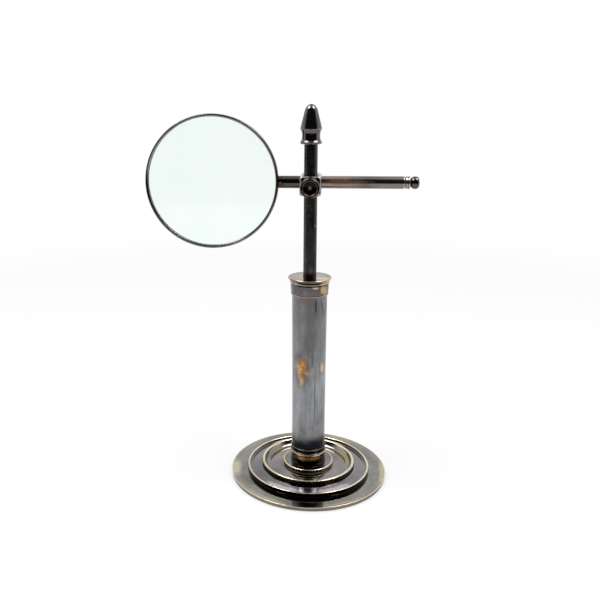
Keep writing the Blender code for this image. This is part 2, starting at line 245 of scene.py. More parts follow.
class Nodes:
    """A node tree, written as calls that make a node each."""

    def __init__(self, tree):
        self.tree = tree

    def node(self, kind, inputs=(), **settings):
        node = self.tree.nodes.new("ShaderNode" + kind)
        for key, value in settings.items():
            setattr(node, key, value)
        for key, value in dict(inputs).items():
            self.put(node.inputs[key], value)
        return node

    def put(self, socket, value):
        if isinstance(value, bpy.types.NodeSocket):
            self.tree.links.new(value, socket)
        elif isinstance(value, tuple) and len(value) == 3 and socket.type == "RGBA":
            socket.default_value = (*value, 1.0)
        else:
            socket.default_value = value

    def math(self, operation, a, b=0.0, clamp=False):
        return self.node("Math", {0: a, 1: b}, operation=operation, use_clamp=clamp).outputs[0]

    def times(self, a, b, clamp=False):
        return self.math("MULTIPLY", a, b, clamp)

    def plus(self, a, b, clamp=False):
        return self.math("ADD", a, b, clamp)

    def minus(self, a, b, clamp=False):
        return self.math("SUBTRACT", a, b, clamp)

    def map(self, value, low, high, to_low=0.0, to_high=1.0, smooth=False):
        inputs = {"Value": value, "From Min": low, "From Max": high, "To Min": to_low, "To Max": to_high}
        kind = "SMOOTHSTEP" if smooth else "LINEAR"
        return self.node("MapRange", inputs, interpolation_type=kind).outputs["Result"]


class Shade(Nodes):
    """A material with a Principled shader. Each call returns the socket that it makes."""

    def __init__(self, name):
        self.material = bpy.data.materials.new(name)
        self.material.use_nodes = True
        super().__init__(self.material.node_tree)
        self.shader = self.tree.nodes["Principled BSDF"]
        self.place = self.node("TexCoord").outputs["Object"]
        self.dull = None

    def set(self, **values):
        for key, value in values.items():
            self.put(self.shader.inputs[key.replace("_", " ")], value)

    def mix(self, factor, a, b):
        node = self.node("Mix", data_type="RGBA")
        factor_socket, a_socket, b_socket = (s for s in node.inputs if s.enabled)
        self.put(factor_socket, factor)
        self.put(a_socket, a)
        self.put(b_socket, b)
        return next(s for s in node.outputs if s.enabled)

    def lay(self, colour, mask, strength, tint):
        """A colour with another laid on it where the mask is up."""
        return self.mix(self.times(mask, strength), colour, tint)

    def stretched(self, scale, shift=(0, 0, 0), vector=None):
        inputs = {"Vector": vector or self.place, "Scale": scale, "Location": shift}
        return self.node("Mapping", inputs).outputs[0]

    def noise(self, scale, detail=4.0, rough=0.55, vector=None, distortion=0.0):
        inputs = {"Vector": vector or self.place, "Scale": scale, "Detail": detail}
        inputs |= {"Roughness": rough, "Distortion": distortion}
        return self.node("TexNoise", inputs).outputs["Fac"]

    def wear(self):
        return self.node("Attribute", attribute_name="wear").outputs["Fac"]

    def split(self):
        node = self.node("SeparateXYZ", {0: self.place})
        return node.outputs[0], node.outputs[1], node.outputs[2]

    def join(self, x, y, z):
        return self.node("CombineXYZ", {0: x, 1: y, 2: z}).outputs[0]

    def round_place(self, axis="Z", origin=(0, 0, 0)):
        """Angle from the knob's side in degrees, and radius and height in mm, about an axis."""
        x, y, z = (self.times(s, 1 / MM) for s in self.split())
        x, y, z = (self.minus(s, float(o)) for s, o in zip((x, y, z), origin))
        side, front, height = {"Z": (x, y, z), "X": (y, z, x), "-Y": (x, z, y)}[axis]
        back = self.times(front, -1.0)
        angle = self.times(self.math("ARCTAN2", side, back), 180 / math.pi)
        return angle, self.length(side, front), height

    def length(self, a, b):
        return self.math("SQRT", self.plus(self.math("POWER", a, 2.0), self.math("POWER", b, 2.0)))

    def patch(self, angle, height, at, size, ragged=0.35, scale=150.0):
        """1 inside a ragged patch, falling to 0 at its edge. size is its half width and half height."""
        a = self.math("DIVIDE", self.minus(angle, float(at[0])), float(size[0]))
        h = self.math("DIVIDE", self.minus(height, float(at[1])), float(size[1]))
        edge = self.times(self.minus(self.noise(scale, 5.0, 0.6), 0.5), 2 * ragged)
        return self.map(self.plus(self.length(a, h), edge), 0.35, 1.0, 1.0, 0.0, smooth=True)

    def bump(self, height, strength, distance_mm, normal=None):
        inputs = {"Height": height, "Strength": strength, "Distance": distance_mm * MM}
        if normal is not None:
            inputs["Normal"] = normal
        return self.node("Bump", inputs).outputs[0]


def turning_marks(m, radius, height, pitch_mm=0.35):
    """Fine rings left by the lathe: noise that changes with radius and height only."""
    lines = m.join(m.times(radius, 1 / pitch_mm), 0.0, m.times(height, 1 / pitch_mm))
    return m.noise(1.0, 3.0, 0.7, vector=lines)


CLOUD_SCALE = 38.0


def patina(name, deep, body, bare, pale, rough, axis="Z", origin=(0, 0, 0), warm=0.2, blotches=None):
    """Polished metal under a dark patina: cloudy tone, warm thin spots, lathe rings, and bare metal where
    worn. The last argument, where given, adds the piece's own patches to the colour: stains, and on some
    pieces painted highlights, painted reflection and painted shade."""
    m = Shade(name)
    place = m.round_place(axis, origin)
    clouds = m.noise(CLOUD_SCALE, 6.0, 0.62, distortion=0.4)
    fine = m.noise(CLOUD_SCALE * 9, 4.0, 0.6)
    tone = m.plus(m.map(clouds, 0.32, 0.68), m.map(fine, 0.3, 0.7, -0.18, 0.18), clamp=True)
    colour = m.mix(tone, deep, body)
    elsewhere = m.stretched((1, 1, 1), (0.31, 0.17, 0.53))
    thin = m.map(m.noise(CLOUD_SCALE * 0.8, 5.0, 0.6, vector=elsewhere), 0.56, 0.72)
    warmed = tuple(0.55 * b + 0.3 * c for b, c in zip(body, COPPER))
    colour = m.lay(colour, thin, warm, warmed)
    if blotches:
        colour = blotches(m, colour, *place)
    worn = m.times(m.wear(), m.map(m.noise(260.0, 4.0, 0.6), 0.30, 0.50, 0.72, 1.0), clamp=True)
    colour = m.mix(worn, colour, m.mix(m.map(clouds, 0.4, 0.65), bare, pale))
    roughness = m.map(clouds, 0.3, 0.7, rough * 0.7, rough * 1.35)
    roughness = m.plus(roughness, m.map(fine, 0.3, 0.7, -0.02, 0.03))
    roughness = m.plus(roughness, m.times(worn, 0.05))
    rings = turning_marks(m, place[1], place[2])
    wavy = m.bump(m.noise(120.0, 2.0, 0.5), 0.25, 0.03)
    metallic = m.minus(1.0, m.dull) if m.dull else 1.0
    m.set(Base_Color=colour, Metallic=metallic, Roughness=roughness, Normal=m.bump(rings, 0.05, 0.03, wavy))
    return m.material


def paint(m, colour, angle, height, patches):
    """Lays ragged patches on a colour: (place, half size, strength, colour) each."""
    for at, size, strength, tint in patches:
        mask = m.patch(angle, height, at, size, 0.45, 190.0)
        colour = m.lay(colour, mask, strength, tint)
    return colour


def base_stains_and_highlights(m, colour, angle, radius, height):
    """The flange is rubbed towards its rim, most at the left and right, and the hollows have warm and blue
    tints. Pale patches at the front of the cove and of the dish are painted highlights."""
    near_rim = m.map(radius, 51.0, 60.0, smooth=True)
    broken = m.map(m.noise(46.0, 5.0, 0.6, vector=m.stretched((1, 1, 1), (0.7, 0.1, 0.2))), 0.40, 0.64)
    rubbed = m.times(near_rim, broken)
    colour = m.lay(colour, rubbed, 0.5, (0.42, 0.37, 0.26))
    patches = [
        ((-84, 58), (16, 7.5), 0.85, (0.58, 0.51, 0.36)),
        ((-38, 59), (30, 3.6), 0.60, (0.48, 0.41, 0.29)),
        ((86, 59), (24, 4.0), 0.75, (0.56, 0.49, 0.33)),
        ((28, 59), (26, 3.0), 0.45, (0.42, 0.35, 0.26)),
        ((160, 57), (34, 5.0), 0.50, (0.46, 0.40, 0.28)),
        ((118, 30), (34, 4.5), 0.60, (0.42, 0.31, 0.14)),
        ((-128, 30), (24, 4.0), 0.55, (0.36, 0.27, 0.13)),
        ((-76, 27), (16, 5.0), 0.30, (0.24, 0.25, 0.31)),
        ((70, 41), (28, 4.0), 0.30, (0.22, 0.23, 0.27)),
        ((-96, 41), (22, 4.0), 0.30, (0.28, 0.25, 0.29)),
        # painted highlights: pale patches at the front of the cove between the lower rings
        ((-24, 42.6), (26, 3.4), 0.90, (0.80, 0.79, 0.83)),
        ((30, 42.6), (26, 3.4), 0.90, (0.76, 0.75, 0.82)),
        # painted highlights: pale patches at the front of the dish inside the middle ring
        ((-19, 30.5), (12, 2.6), 0.70, (0.66, 0.64, 0.60)),
        ((19, 30.5), (12, 2.6), 0.70, (0.66, 0.64, 0.62)),
    ]
    colour = paint(m, colour, angle, radius, patches)
    for wall, strength, tint in (
        (47.28, 1.0, (0.006, 0.005, 0.004)),
        (36.0, 0.95, (0.030, 0.021, 0.013)),
        (20.0, 0.85, (0.130, 0.070, 0.030)),
    ):
        band = m.map(m.math("ABSOLUTE", m.minus(radius, wall)), 0.20, 0.34, strength, 0.0)
        colour = m.mix(band, colour, tint)
    m.dull = m.times(band, 0.6)
    edge = m.times(m.map(radius, 60.0, 60.2), m.map(height, 2.8, 3.0, 1.0, 0.0))
    colour = m.lay(colour, edge, 0.8, (0.150, 0.140, 0.125))
    violet = m.times(m.map(radius, 36.4, 38.0), m.map(radius, 45.0, 46.0, 1.0, 0.0))
    return m.lay(colour, violet, 0.45, (0.160, 0.150, 0.175))


def skirt_stains_and_highlight(m, colour, angle, radius, height):
    patches = [
        ((42, 151.2), (9, 4.2), 0.95, (0.50, 0.33, 0.11)),
        ((55, 150.0), (13, 4.8), 0.85, (0.46, 0.35, 0.17)),
        # painted highlight: a pale pink patch high on the front of the collar
        ((19, 153.4), (14, 1.9), 0.90, (0.62, 0.44, 0.34)),
        ((-14, 149.0), (7, 1.6), 0.45, (0.30, 0.17, 0.13)),
        ((-66, 151.0), (12, 3.0), 0.40, (0.30, 0.24, 0.20)),
        ((170, 150.5), (40, 3.6), 0.55, (0.40, 0.29, 0.14)),
    ]
    return paint(m, colour, angle, height, patches)


def cap_stains_reflection_and_shade(m, colour, angle, radius, height):
    patches = [
        ((58, 157.5), (34, 3.2), 0.80, (0.62, 0.47, 0.20)),
        ((-46, 156.6), (30, 1.2), 0.75, (0.34, 0.19, 0.10)),
        ((-70, 158.0), (34, 1.6), 0.60, (0.26, 0.18, 0.13)),
        # painted reflection: a dark brown band along the front of the rim
        ((-12, 157.4), (84, 1.7), 0.90, (0.150, 0.088, 0.046)),
        # painted shade: a near-black line in the cove under the rim at the front
        ((4, 156.2), (60, 0.7), 0.90, (0.040, 0.026, 0.018)),
        ((178, 157.0), (46, 3.0), 0.55, (0.46, 0.34, 0.17)),
    ]
    return paint(m, colour, angle, height, patches)


def ferrule_stains(m, colour, angle, radius, height):
    patches = [
        ((-2, 16.0), (86, 2.6), 0.95, (0.20, 0.10, 0.030)),
        ((-22, 15.9), (15, 1.9), 0.75, (0.40, 0.22, 0.08)),
        ((140, 15.5), (40, 2.6), 0.50, (0.20, 0.11, 0.05)),
    ]
    m.dull = m.times(m.patch(angle, height, (-6, 16.2), (66, 2.3), 0.45, 190.0), 0.40)
    return paint(m, colour, angle, height, patches)


def post_stains(m, colour, angle, radius, height):
    """Smoky streaks, and a few scratches that show reddish metal."""
    smoke = m.map(m.noise(1.0, 5.0, 0.6, vector=m.stretched((420, 420, 45))), 0.45, 0.70)
    colour = m.lay(colour, smoke, 0.5, (0.095, 0.092, 0.090))
    patches = [
        ((-20, 213.2), (10, 1.0), 0.75, (0.34, 0.15, 0.10)),
        ((-19, 205.7), (14, 0.7), 0.65, (0.30, 0.14, 0.09)),
        ((46, 198.1), (12, 1.5), 0.65, (0.32, 0.16, 0.10)),
        ((-34, 172.0), (10, 2.2), 0.50, (0.22, 0.11, 0.07)),
        ((12, 164.0), (26, 3.6), 0.70, (0.16, 0.075, 0.045)),
        ((150, 190.0), (24, 2.0), 0.50, (0.28, 0.14, 0.09)),
        ((-130, 240.0), (20, 1.6), 0.50, (0.28, 0.14, 0.09)),
    ]
    return paint(m, colour, angle, height, patches)


def knob_dish_highlight(m, colour, angle, radius, height):
    """A painted highlight: a soft grey spot in the middle of the dish, which is also made less metallic."""
    middle = m.map(radius, 0.4, 2.0, 1.0, 0.0, smooth=True)
    middle = m.times(middle, m.map(height, -18.0, -17.0, 1.0, 0.0))
    m.dull = m.times(middle, 0.8)
    return m.mix(middle, colour, (0.105, 0.112, 0.100))


def arm_stains(m, colour, angle, radius, height):
    """Dark towards the lens, rosy where it leaves the block, and neutral grey at its outer end."""
    dark = m.map(height, -9.0, 2.0, 0.72, 0.0, smooth=True)
    colour = m.mix(dark, colour, (0.050, 0.046, 0.043))
    rosy = m.map(height, 40.0, 20.0, smooth=True)
    rosy = m.times(rosy, m.map(height, 5.0, 14.0, smooth=True))
    broken = m.map(m.noise(1.0, 5.0, 0.6, vector=m.stretched((60, 260, 260))), 0.35, 0.62, 0.35, 1.0)
    rosy = m.times(rosy, broken)
    colour = m.lay(colour, rosy, 0.8, (0.33, 0.215, 0.175))
    front = m.patch(angle, height, (-97, 26), (24, 22), 0.85, 70.0)
    streaky = m.map(m.noise(1.0, 4.0, 0.6, vector=m.stretched((70, 400, 400))), 0.3, 0.6, 0.3, 1.0)
    front = m.times(front, streaky)
    m.dull = m.times(front, 0.6)
    colour = m.lay(colour, front, 0.8, (0.105, 0.042, 0.012))
    return m.mix(m.map(height, 40.0, 66.0, 0.0, 0.6, smooth=True), colour, (0.17, 0.165, 0.165))


def tube_patina():
    """Satin grey patina, run down in streaks, rubbed through to brass in a few places."""
    m = Shade("tube_patina")
    angle, _, height = m.round_place()
    grey = (0.172, 0.174, 0.182)
    light = (0.325, 0.330, 0.345)
    dark = (0.085, 0.085, 0.088)
    navy = (0.012, 0.014, 0.024)
    streaks = m.noise(1.0, 6.0, 0.62, vector=m.stretched((520, 520, 26)))
    broad = m.noise(1.0, 4.0, 0.55, vector=m.stretched((110, 110, 26), (0.2, 0.7, 0.4)))
    specks = m.noise(700.0, 4.0, 0.6)
    mottle = m.noise(130.0, 5.0, 0.6)
    tone = m.plus(m.map(broad, 0.34, 0.66), m.map(streaks, 0.3, 0.7, -0.22, 0.22))
    tone = m.plus(tone, m.map(mottle, 0.3, 0.7, -0.22, 0.22))
    tone = m.plus(tone, m.map(specks, 0.3, 0.7, -0.1, 0.1), clamp=True)
    colour = m.mix(tone, grey, light)
    upper = m.map(height, 78.0, 112.0, 0.0, 0.42, smooth=True)
    colour = m.mix(upper, colour, (0.112, 0.113, 0.112))
    olive = m.patch(angle, height, (4, 112), (30, 17), 0.4, 90.0)
    colour = m.lay(colour, olive, 0.6, (0.088, 0.092, 0.082))
    shade = m.patch(angle, height, (8, 134), (34, 15), 0.3, 80.0)
    colour = m.lay(colour, shade, 0.45, dark)
    brown = m.patch(angle, height, (-12, 143.2), (34, 4.0), 0.5, 160.0)
    colour = m.lay(colour, brown, 0.55, (0.20, 0.135, 0.095))
    for at, size, strength in (
        ((-24, 90), (27, 13.0), 1.0),
        ((-24, 79), (12, 8), 0.35),
        ((4, 86), (26, 5), 0.12),
        ((53, 89.5), (12, 5.5), 0.6),
        ((150, 101), (26, 9), 0.6),
        ((-128, 60), (18, 7), 0.45),
    ):
        rubbed = m.patch(angle, height, at, size, 0.45, 210.0)
        tint = m.mix(m.map(mottle, 0.42, 0.58), (0.36, 0.165, 0.060), (0.72, 0.42, 0.13))
        inner = m.times(m.map(rubbed, 0.6, 1.0), m.map(mottle, 0.42, 0.58, 0.0, 0.75))
        tint = m.mix(inner, tint, (0.84, 0.58, 0.24))
        colour = m.lay(colour, rubbed, strength, tint)
        halo = m.patch(angle, height, at, (size[0] * 1.7, size[1] * 1.5), 0.5, 150.0)
        ring = m.times(m.minus(halo, rubbed, clamp=True), 0.45 * strength)
        colour = m.mix(ring, colour, (0.052, 0.048, 0.052))
    smear = m.patch(angle, height, (13, 97), (6, 9), 0.4, 200.0)
    colour = m.lay(colour, smear, 0.6, (0.090, 0.055, 0.055))
    drips = m.patch(angle, height, (22, 139), (5, 8), 0.3, 240.0)
    slant = m.plus(angle, m.times(m.minus(height, 144.0), 0.95))
    drip_left = m.patch(slant, height, (41, 136), (2.6, 10), 0.25, 240.0)
    slant_back = m.minus(angle, m.times(m.minus(height, 144.0), 0.80))
    drip_right = m.patch(slant_back, height, (70, 136), (3.0, 9), 0.25, 240.0)
    for drip, strength in ((drips, 0.75), (drip_left, 0.85), (drip_right, 0.75)):
        colour = m.lay(colour, drip, strength, (0.022, 0.023, 0.036))
    line = m.patch(angle, height, (23, 71), (2.2, 38), 0.12, 60.0)
    colour = m.lay(colour, line, 0.75, (0.050, 0.050, 0.056))
    uneven = m.map(m.noise(1.0, 4.0, 0.5, vector=m.stretched((90, 90, 60))), 0.3, 0.7, -2.5, 2.5)
    foot = m.map(m.plus(height, uneven), 27.5, 37.5, 1.0, 0.0, smooth=True)
    colour = m.lay(colour, foot, 0.97, navy)
    singed = m.patch(angle, height, (-20, 38.5), (16, 3.0), 0.4, 200.0)
    colour = m.lay(colour, singed, 0.4, (0.20, 0.125, 0.10))
    roughness = m.plus(m.map(broad, 0.3, 0.7, 0.24, 0.34), m.map(streaks, 0.3, 0.7, -0.04, 0.05))
    lumps = m.noise(1.0, 3.0, 0.5, vector=m.stretched((260, 260, 60)))
    m.set(Base_Color=colour, Metallic=1.0, Roughness=roughness, Normal=m.bump(lumps, 0.22, 0.04))
    return m.material


def felt_cloth():
    m = Shade("felt")
    fibres = m.noise(2600.0, 8.0, 0.75, distortion=1.6)
    clumps = m.noise(420.0, 4.0, 0.6)
    tone = m.plus(m.map(fibres, 0.3, 0.7, 0.0, 0.7), m.map(clumps, 0.3, 0.7, 0.0, 0.3))
    colour = m.mix(tone, (0.006, 0.016, 0.010), (0.030, 0.062, 0.040))
    m.set(Base_Color=colour, Roughness=m.map(clumps, 0.3, 0.7, 0.86, 0.98), Normal=m.bump(fibres, 0.7, 0.18))
    m.set(Sheen_Weight=0.5, Sheen_Roughness=0.5)
    return m.material


def plated(name, low, high, rough, marks=0.12):
    """Turned brass, zinc-plated steel or cast iron, with lathe rings and a stained surface."""
    m = Shade(name)
    blotches = m.noise(210.0, 6.0, 0.62, distortion=0.5)
    fine = m.noise(1500.0, 4.0, 0.65)
    tone = m.plus(m.map(blotches, 0.3, 0.7), m.map(fine, 0.3, 0.7, -0.2, 0.2), clamp=True)
    colour = m.mix(tone, low, high)
    _, radius, height = m.round_place()
    rings = turning_marks(m, radius, height, 0.25)
    m.set(Base_Color=colour, Metallic=1.0, Roughness=m.map(blotches, 0.3, 0.7, rough * 0.8, rough * 1.4))
    m.set(Normal=m.bump(rings, marks, 0.03, m.bump(fine, 0.15, 0.02)))
    return m.material


def lens_glass():
    """Clear glass with a mint tint and a faint film on it."""
    m = Shade("glass")
    film = m.noise(42.0, 5.0, 0.6)
    tint = m.mix(m.map(film, 0.35, 0.65), (0.890, 0.985, 0.952), (0.928, 0.990, 0.972))
    m.set(Base_Color=tint, Roughness=m.map(film, 0.50, 0.70, 0.0, 0.006), Transmission_Weight=1.0, IOR=1.50)
    return m.material


# ---------------------------------------------------------------- base


def make_base(metal):
    low, high = span("base_plate")
    rim = high.x
    foot = low.z
    boss = high.z
    ring_1_low, ring_1_high = span("tier_ring_1")
    flange = ring_1_low.z - GAP
    felt_r, felt_bed = 50.4, 1.6
    weight_r, weight_bed = 28.3, 4.4
    nut_r, nut_bed = 8.9, boss - 1.4
    plateau_r, plateau = 29.5, 5.6
    boss_r = 10.0
    outline = closed([
        (plateau_r, flange - 0.05),
        (rim - 9.0, flange),
        (rim, flange, 0.25, 0.6),
        (rim, foot, 0.5),
        (felt_r, foot, 0.2),
        (felt_r, felt_bed),
        (weight_r, felt_bed),
        (weight_r, weight_bed),
        (nut_r, weight_bed),
        (nut_r, nut_bed),
        (TIE_BORE_R, nut_bed),
        (TIE_BORE_R, boss, 0.1),
        (boss_r, boss, 0.1),
        (boss_r, plateau),
        (plateau_r, plateau),
    ])
    turned("stepped_base_disc", outline, metal, "stand", ["base_plate"], steps=288)

    crest = ring_1_high.z
    outer = ring_1_high.x
    cove = span("tier_ring_2")[0].z + 0.1
    shoulder = span("tier_ring_2")[1].x
    outline = rounded([
        (outer - 0.9, crest, 0.3, 1.0),
        (outer - 0.1, crest, 0.45, 1.0),
        (outer, ring_1_low.z + 0.75, 0.2),
        (outer - 0.22, ring_1_low.z + 0.55, 0.1),
        (outer, ring_1_low.z + 0.35, 0.12, 0.08),
        (outer - 0.05, ring_1_low.z, 0.12),
        (29.9, ring_1_low.z),
        (29.9, cove - 0.45),
        (shoulder + 0.5, cove - 0.45),
    ])
    outline += curve([
        (shoulder + 0.6, cove + 0.75),
        (shoulder + 2.6, cove + 0.34),
        (shoulder + 4.6, cove - 0.10),
        (shoulder + 6.6, cove - 0.56),
        (shoulder + 8.0, cove - 0.92),
        (shoulder + 8.8, cove - 1.10),
        (outer - 1.95, cove - 0.95),
        (outer - 1.6, crest - 0.85),
        (outer - 1.35, crest - 0.25, 0.7),
        (outer - 1.1, crest - 0.03, 1.0),
        (outer - 1.0, crest, 1.0),
    ])
    turned("lower_step_ring", outline, metal, "stand", ["tier_ring_1"], steps=288)

    low, high = span("tier_ring_2")
    crest = high.z
    outer = high.x
    dish = span("tier_ring_3")[0].z - 0.45
    outline = rounded([
        (outer - 1.0, crest + 0.05, 0.25, 1.0),
        (outer - 0.1, crest, 0.55, 1.0),
        (outer, low.z, 0.25),
        (RING_BORE_R, low.z),
        (RING_BORE_R, low.z + 1.5),
        (19.7, low.z + 1.5),
    ])
    outline += curve([
        (20.2, dish + 0.1),
        (22.0, dish + 0.12),
        (24.6, dish + 0.10),
        (26.8, dish - 0.12),
        (28.6, dish - 0.52),
        (30.2, dish - 0.98),
        (31.6, dish - 0.90),
        (32.8, dish + 0.1),
        (33.7, dish + 1.6, 0.1),
        (34.15, crest - 0.45, 0.7),
        (34.45, crest - 0.06, 1.0),
        (34.8, crest + 0.05, 1.0),
    ])
    turned("middle_step_ring", outline, metal, "stand", ["tier_ring_2"], steps=256)

    low, high = span("tier_ring_3")
    outer = high.x
    outline = rounded([
        (TIE_BORE_R, high.z, 0.1),
        (outer - 2.0, high.z),
        (outer, high.z, 0.5, 1.0),
        (outer, low.z, 0.2),
        (RING_BORE_R, low.z),
        (RING_BORE_R, low.z + 0.9),
        (TIE_BORE_R, low.z + 0.9),
    ])
    turned("upper_step_ring", outline, metal, "stand", ["tier_ring_3"], steps=224)


def make_felt(cloth):
    low, high = span("felt_pad")
    radius = high.x
    rim = rounded([
        (0, high.z),
        (radius, high.z, 0.35),
        (radius, low.z, 0.4),
        (0, low.z),
    ])
    pad = turned("felt_sole", rim, cloth, "stand", ["felt_pad"], steps=256, shape=felt_edge)


def felt_edge(radius, height, angle):
    """The cut edge of the felt isn't quite even."""
    return radius - 0.12 * (math.sin(37 * angle) * math.sin(11 * angle + 0.7)) ** 2 if radius > 40 else radius


# ---------------------------------------------------------------- column


def make_column(ferrule_metal, tube_metal, skirt_metal, cap_metal):
    low, high = span("column_ferrule")
    bead = high.x
    foot = low.z
    crown = span("column_tube")[0].z - GAP
    outline = closed([
        (9.6, high.z, 0.2),
        (SPIGOT_R, high.z, 0.2),
        (SPIGOT_R, crown),
        (bead - 0.95, crown, 0.2),
        (bead - 0.55, crown - 0.2, 0.25, 0.12),
        (bead - 0.45, crown - 0.9, 0.3, 0.22),
        (bead - 1.0, crown - 1.5, 0.3),
        (bead - 1.0, crown - 3.3, 0.3),
        (bead - 0.25, crown - 3.65, 0.3, 0.3),
        (bead + 0.02, crown - 4.6, 0.6, 1.0),
        (bead - 0.25, crown - 5.4, 0.3, 0.25),
        (bead - 0.65, crown - 5.8, 0.2),
        (bead - 0.65, foot + 0.9, 0.3),
        (bead - 0.35, foot + 0.5, 0.25, 0.1),
        (bead - 0.35, foot, 0.1),
        (TIE_BORE_R, foot),
        (TIE_BORE_R, foot + 2.3),
        (9.6, foot + 2.3),
    ])
    turned("beaded_ferrule", outline, ferrule_metal, "stand", ["column_ferrule"])

    low, high = span("column_tube")
    wide = high.x
    outside = curve([
        (wide, high.z),
        (wide, high.z - 12.0),
        (wide - 0.06, high.z - 22.0),
        (wide - 0.22, high.z - 40.0),
        (wide - 0.39, high.z - 66.0),
        (wide - 0.52, high.z - 102.0),
        (wide - 0.55, low.z + 0.2),
        (wide - 0.65, low.z),
    ])
    inside = [(TUBE_BORE_R, low.z, 0), (TUBE_BORE_R, high.z, 0)]
    turned("streaked_tube", outside + inside, tube_metal, "stand", ["column_tube"])

    low, high = span("cap_skirt")
    wide = high.x
    outline = rounded([
        (wide - 0.85, high.z),
        (wide - 0.1, high.z, 0.3),
        (wide, high.z - 0.9, 0.5),
        (wide - 0.05, high.z - 4.0, 1.5),
        (wide - 0.40, low.z + 0.9, 0.5),
        (wide - 0.28, low.z + 0.55, 0.2, 0.7),
        (wide - 0.3, low.z + 0.1, 0.2, 0.7),
        (wide - 0.5, low.z, 0.1, 0.3),
        (wide - 0.85, low.z),
    ])
    turned("cap_collar", outline, skirt_metal, "stand", ["cap_skirt"])

    low, high = span("column_cap")
    wide = high.x
    top = high.z
    bore = span("post")[1].x + GAP
    outline = closed([
        (bore, top, 0.15, 0.2),
        (wide - 2.0, top),
        (wide - 0.35, top - 0.02, 0.35, 0.40),
        (wide, top - 0.5, 0.35, 0.20),
        (wide - 0.15, top - 1.2, 0.4, 0.15),
        (wide - 0.8, top - 1.75, 0.6),
        (wide - 1.75, top - 2.5, 0.6),
        (wide - 1.7, top - 2.95, 0.3, 0.2),
        (wide - 1.3, top - 3.1, 0.3, 1.0),
        (wide - 1.3, top - 3.85, 0.3, 0.6),
        (wide - 1.75, top - 4.0, 0.1, 0.6),
        (SPIGOT_R, top - 4.0),
        (SPIGOT_R, low.z),
        (bore, low.z),
    ])
    turned("moulded_cap", outline, cap_metal, "stand", ["column_cap"], steps=224)


# ---------------------------------------------------------------- post


def make_post(post_metal, finial_metal):
    low, high = span("post")
    wide = high.x
    step = low.z + 8.3
    outline = rounded([
        (FINIAL_BORE_R, high.z),
        (wide, high.z, 0.3),
        (wide, step, 0.2),
        (3.0, step),
        (3.0, low.z + 0.4, 0.1),
        (2.6, low.z),
        (0, low.z),
    ])
    outline += [(0, high.z - 7.8, 0), (FINIAL_BORE_R, high.z - 7.8, 0)]
    turned("slim_post", outline, post_metal, "stand", ["post"], steps=144)

    low, high = span("finial")
    wide = high.x
    tip = high.z
    foot = low.z
    outline = curve([
        (0, tip, 0.1),
        (1.3, tip - 0.22, 0.1),
        (2.45, tip - 0.9),
        (3.5, tip - 2.0),
        (4.35, tip - 3.4),
        (4.95, tip - 5.2),
        (5.7, tip - 8.2),
        (6.7, tip - 12.2),
        (wide - 0.12, tip - 17.25, 0.05),
    ])
    outline += [(wide, tip - 17.5, 0.8), (wide, tip - 17.9, 0.8), (wide - 0.2, tip - 18.2, 0.3)]
    outline += curve([
        (wide - 0.7, tip - 19.0),
        (wide - 1.2, tip - 20.4),
        (wide - 1.38, tip - 22.3),
        (wide - 1.3, tip - 24.4),
        (wide - 1.0, tip - 25.8),
        (wide - 0.45, tip - 26.8),
        (wide - 0.08, tip - 27.3),
        (wide, tip - 27.75, 0.6),
        (wide - 0.1, tip - 28.3, 0.6),
        (wide - 0.6, tip - 28.75, 0.1),
        (wide - 1.6, foot + 0.1),
    ])
    bore_end = tip - 19.5
    outline += [(wide - 2.6, foot, 0), (FINIAL_BORE_R, foot, 0)]
    outline += [(FINIAL_BORE_R, bore_end, 0), (0, bore_end, 0)]
    turned("pointed_finial", outline, finial_metal, "stand", ["finial"], steps=160)


# ---------------------------------------------------------------- clamp


BLOCK_BEVEL = 2.1


def bevelled_block(name, low, high):
    work = bmesh.new()
    bmesh.ops.create_cube(work, size=1.0)
    for vertex in work.verts:
        vertex.co = Vector(low[i] if vertex.co[i] < 0 else high[i] for i in range(3)) * MM
    bevel = {"offset": BLOCK_BEVEL * MM, "segments": 8, "profile": 0.5, "affect": "EDGES"}
    bmesh.ops.bevel(work, geom=work.edges[:], clamp_overlap=True, **bevel)
    return linked(name, work)


def bore_outline(radius, low, high, countersink, mouths):
    """The outline of a cutter for a bore, with a small countersink at its mouths."""
    flared = radius + countersink + 1
    top = [(0, high, 0), (radius, high, 0)]
    if "high" in mouths:
        top = [(0, high + 1, 0), (flared, high + 1, 0), (radius, high - countersink, 0)]
    bottom = [(radius, low, 0), (0, low, 0)]
    if "low" in mouths:
        bottom = [(radius, low + countersink, 0), (flared, low - 1, 0), (0, low - 1, 0)]
    return top + bottom


def cylinder(radius, low, high):
    """The outline of a plain cylinder."""
    return [(0, high, 0), (radius, high, 0), (radius, low, 0), (0, low, 0)]


def lathe_object(name, outline, axis, origin, steps=96):
    """A plain turned solid, for cutting with."""
    work = bmesh.new()
    rings = []
    for radius, height, _ in outline:
        count = steps if radius > 0 else 1
        ring = []
        for j in range(count):
            angle = 2 * math.pi * j / steps
            point = AXES[axis] @ Vector((radius * math.cos(angle), radius * math.sin(angle), height))
            ring.append(work.verts.new((point + Vector(origin)) * MM))
        rings.append(ring)
    for upper, lower in zip(rings, rings[1:]):
        for j in range(steps):
            k = (j + 1) % steps
            sides = ((upper, j), (lower, j), (lower, k), (upper, k))
            corners = [ring[i % len(ring)] for ring, i in sides]
            face = [c for m, c in enumerate(corners) if c not in corners[:m]]
            if len(face) > 2:
                work.faces.new(face)
    bmesh.ops.recalc_face_normals(work, faces=work.faces)
    return linked(name, work)


def carved(solid, tools):
    """The mesh of a solid with its tools cut away. Solid and tools are used up."""
    for tool in tools:
        modifier = solid.modifiers.new("cut", "BOOLEAN")
        modifier.operation = "DIFFERENCE"
        modifier.solver = "EXACT"
        modifier.object = tool
    bpy.context.view_layer.update()
    graph = bpy.context.evaluated_depsgraph_get()
    mesh = bpy.data.meshes.new_from_object(solid.evaluated_get(graph))
    for obj in (solid, *tools):
        bpy.data.objects.remove(obj)
    return mesh


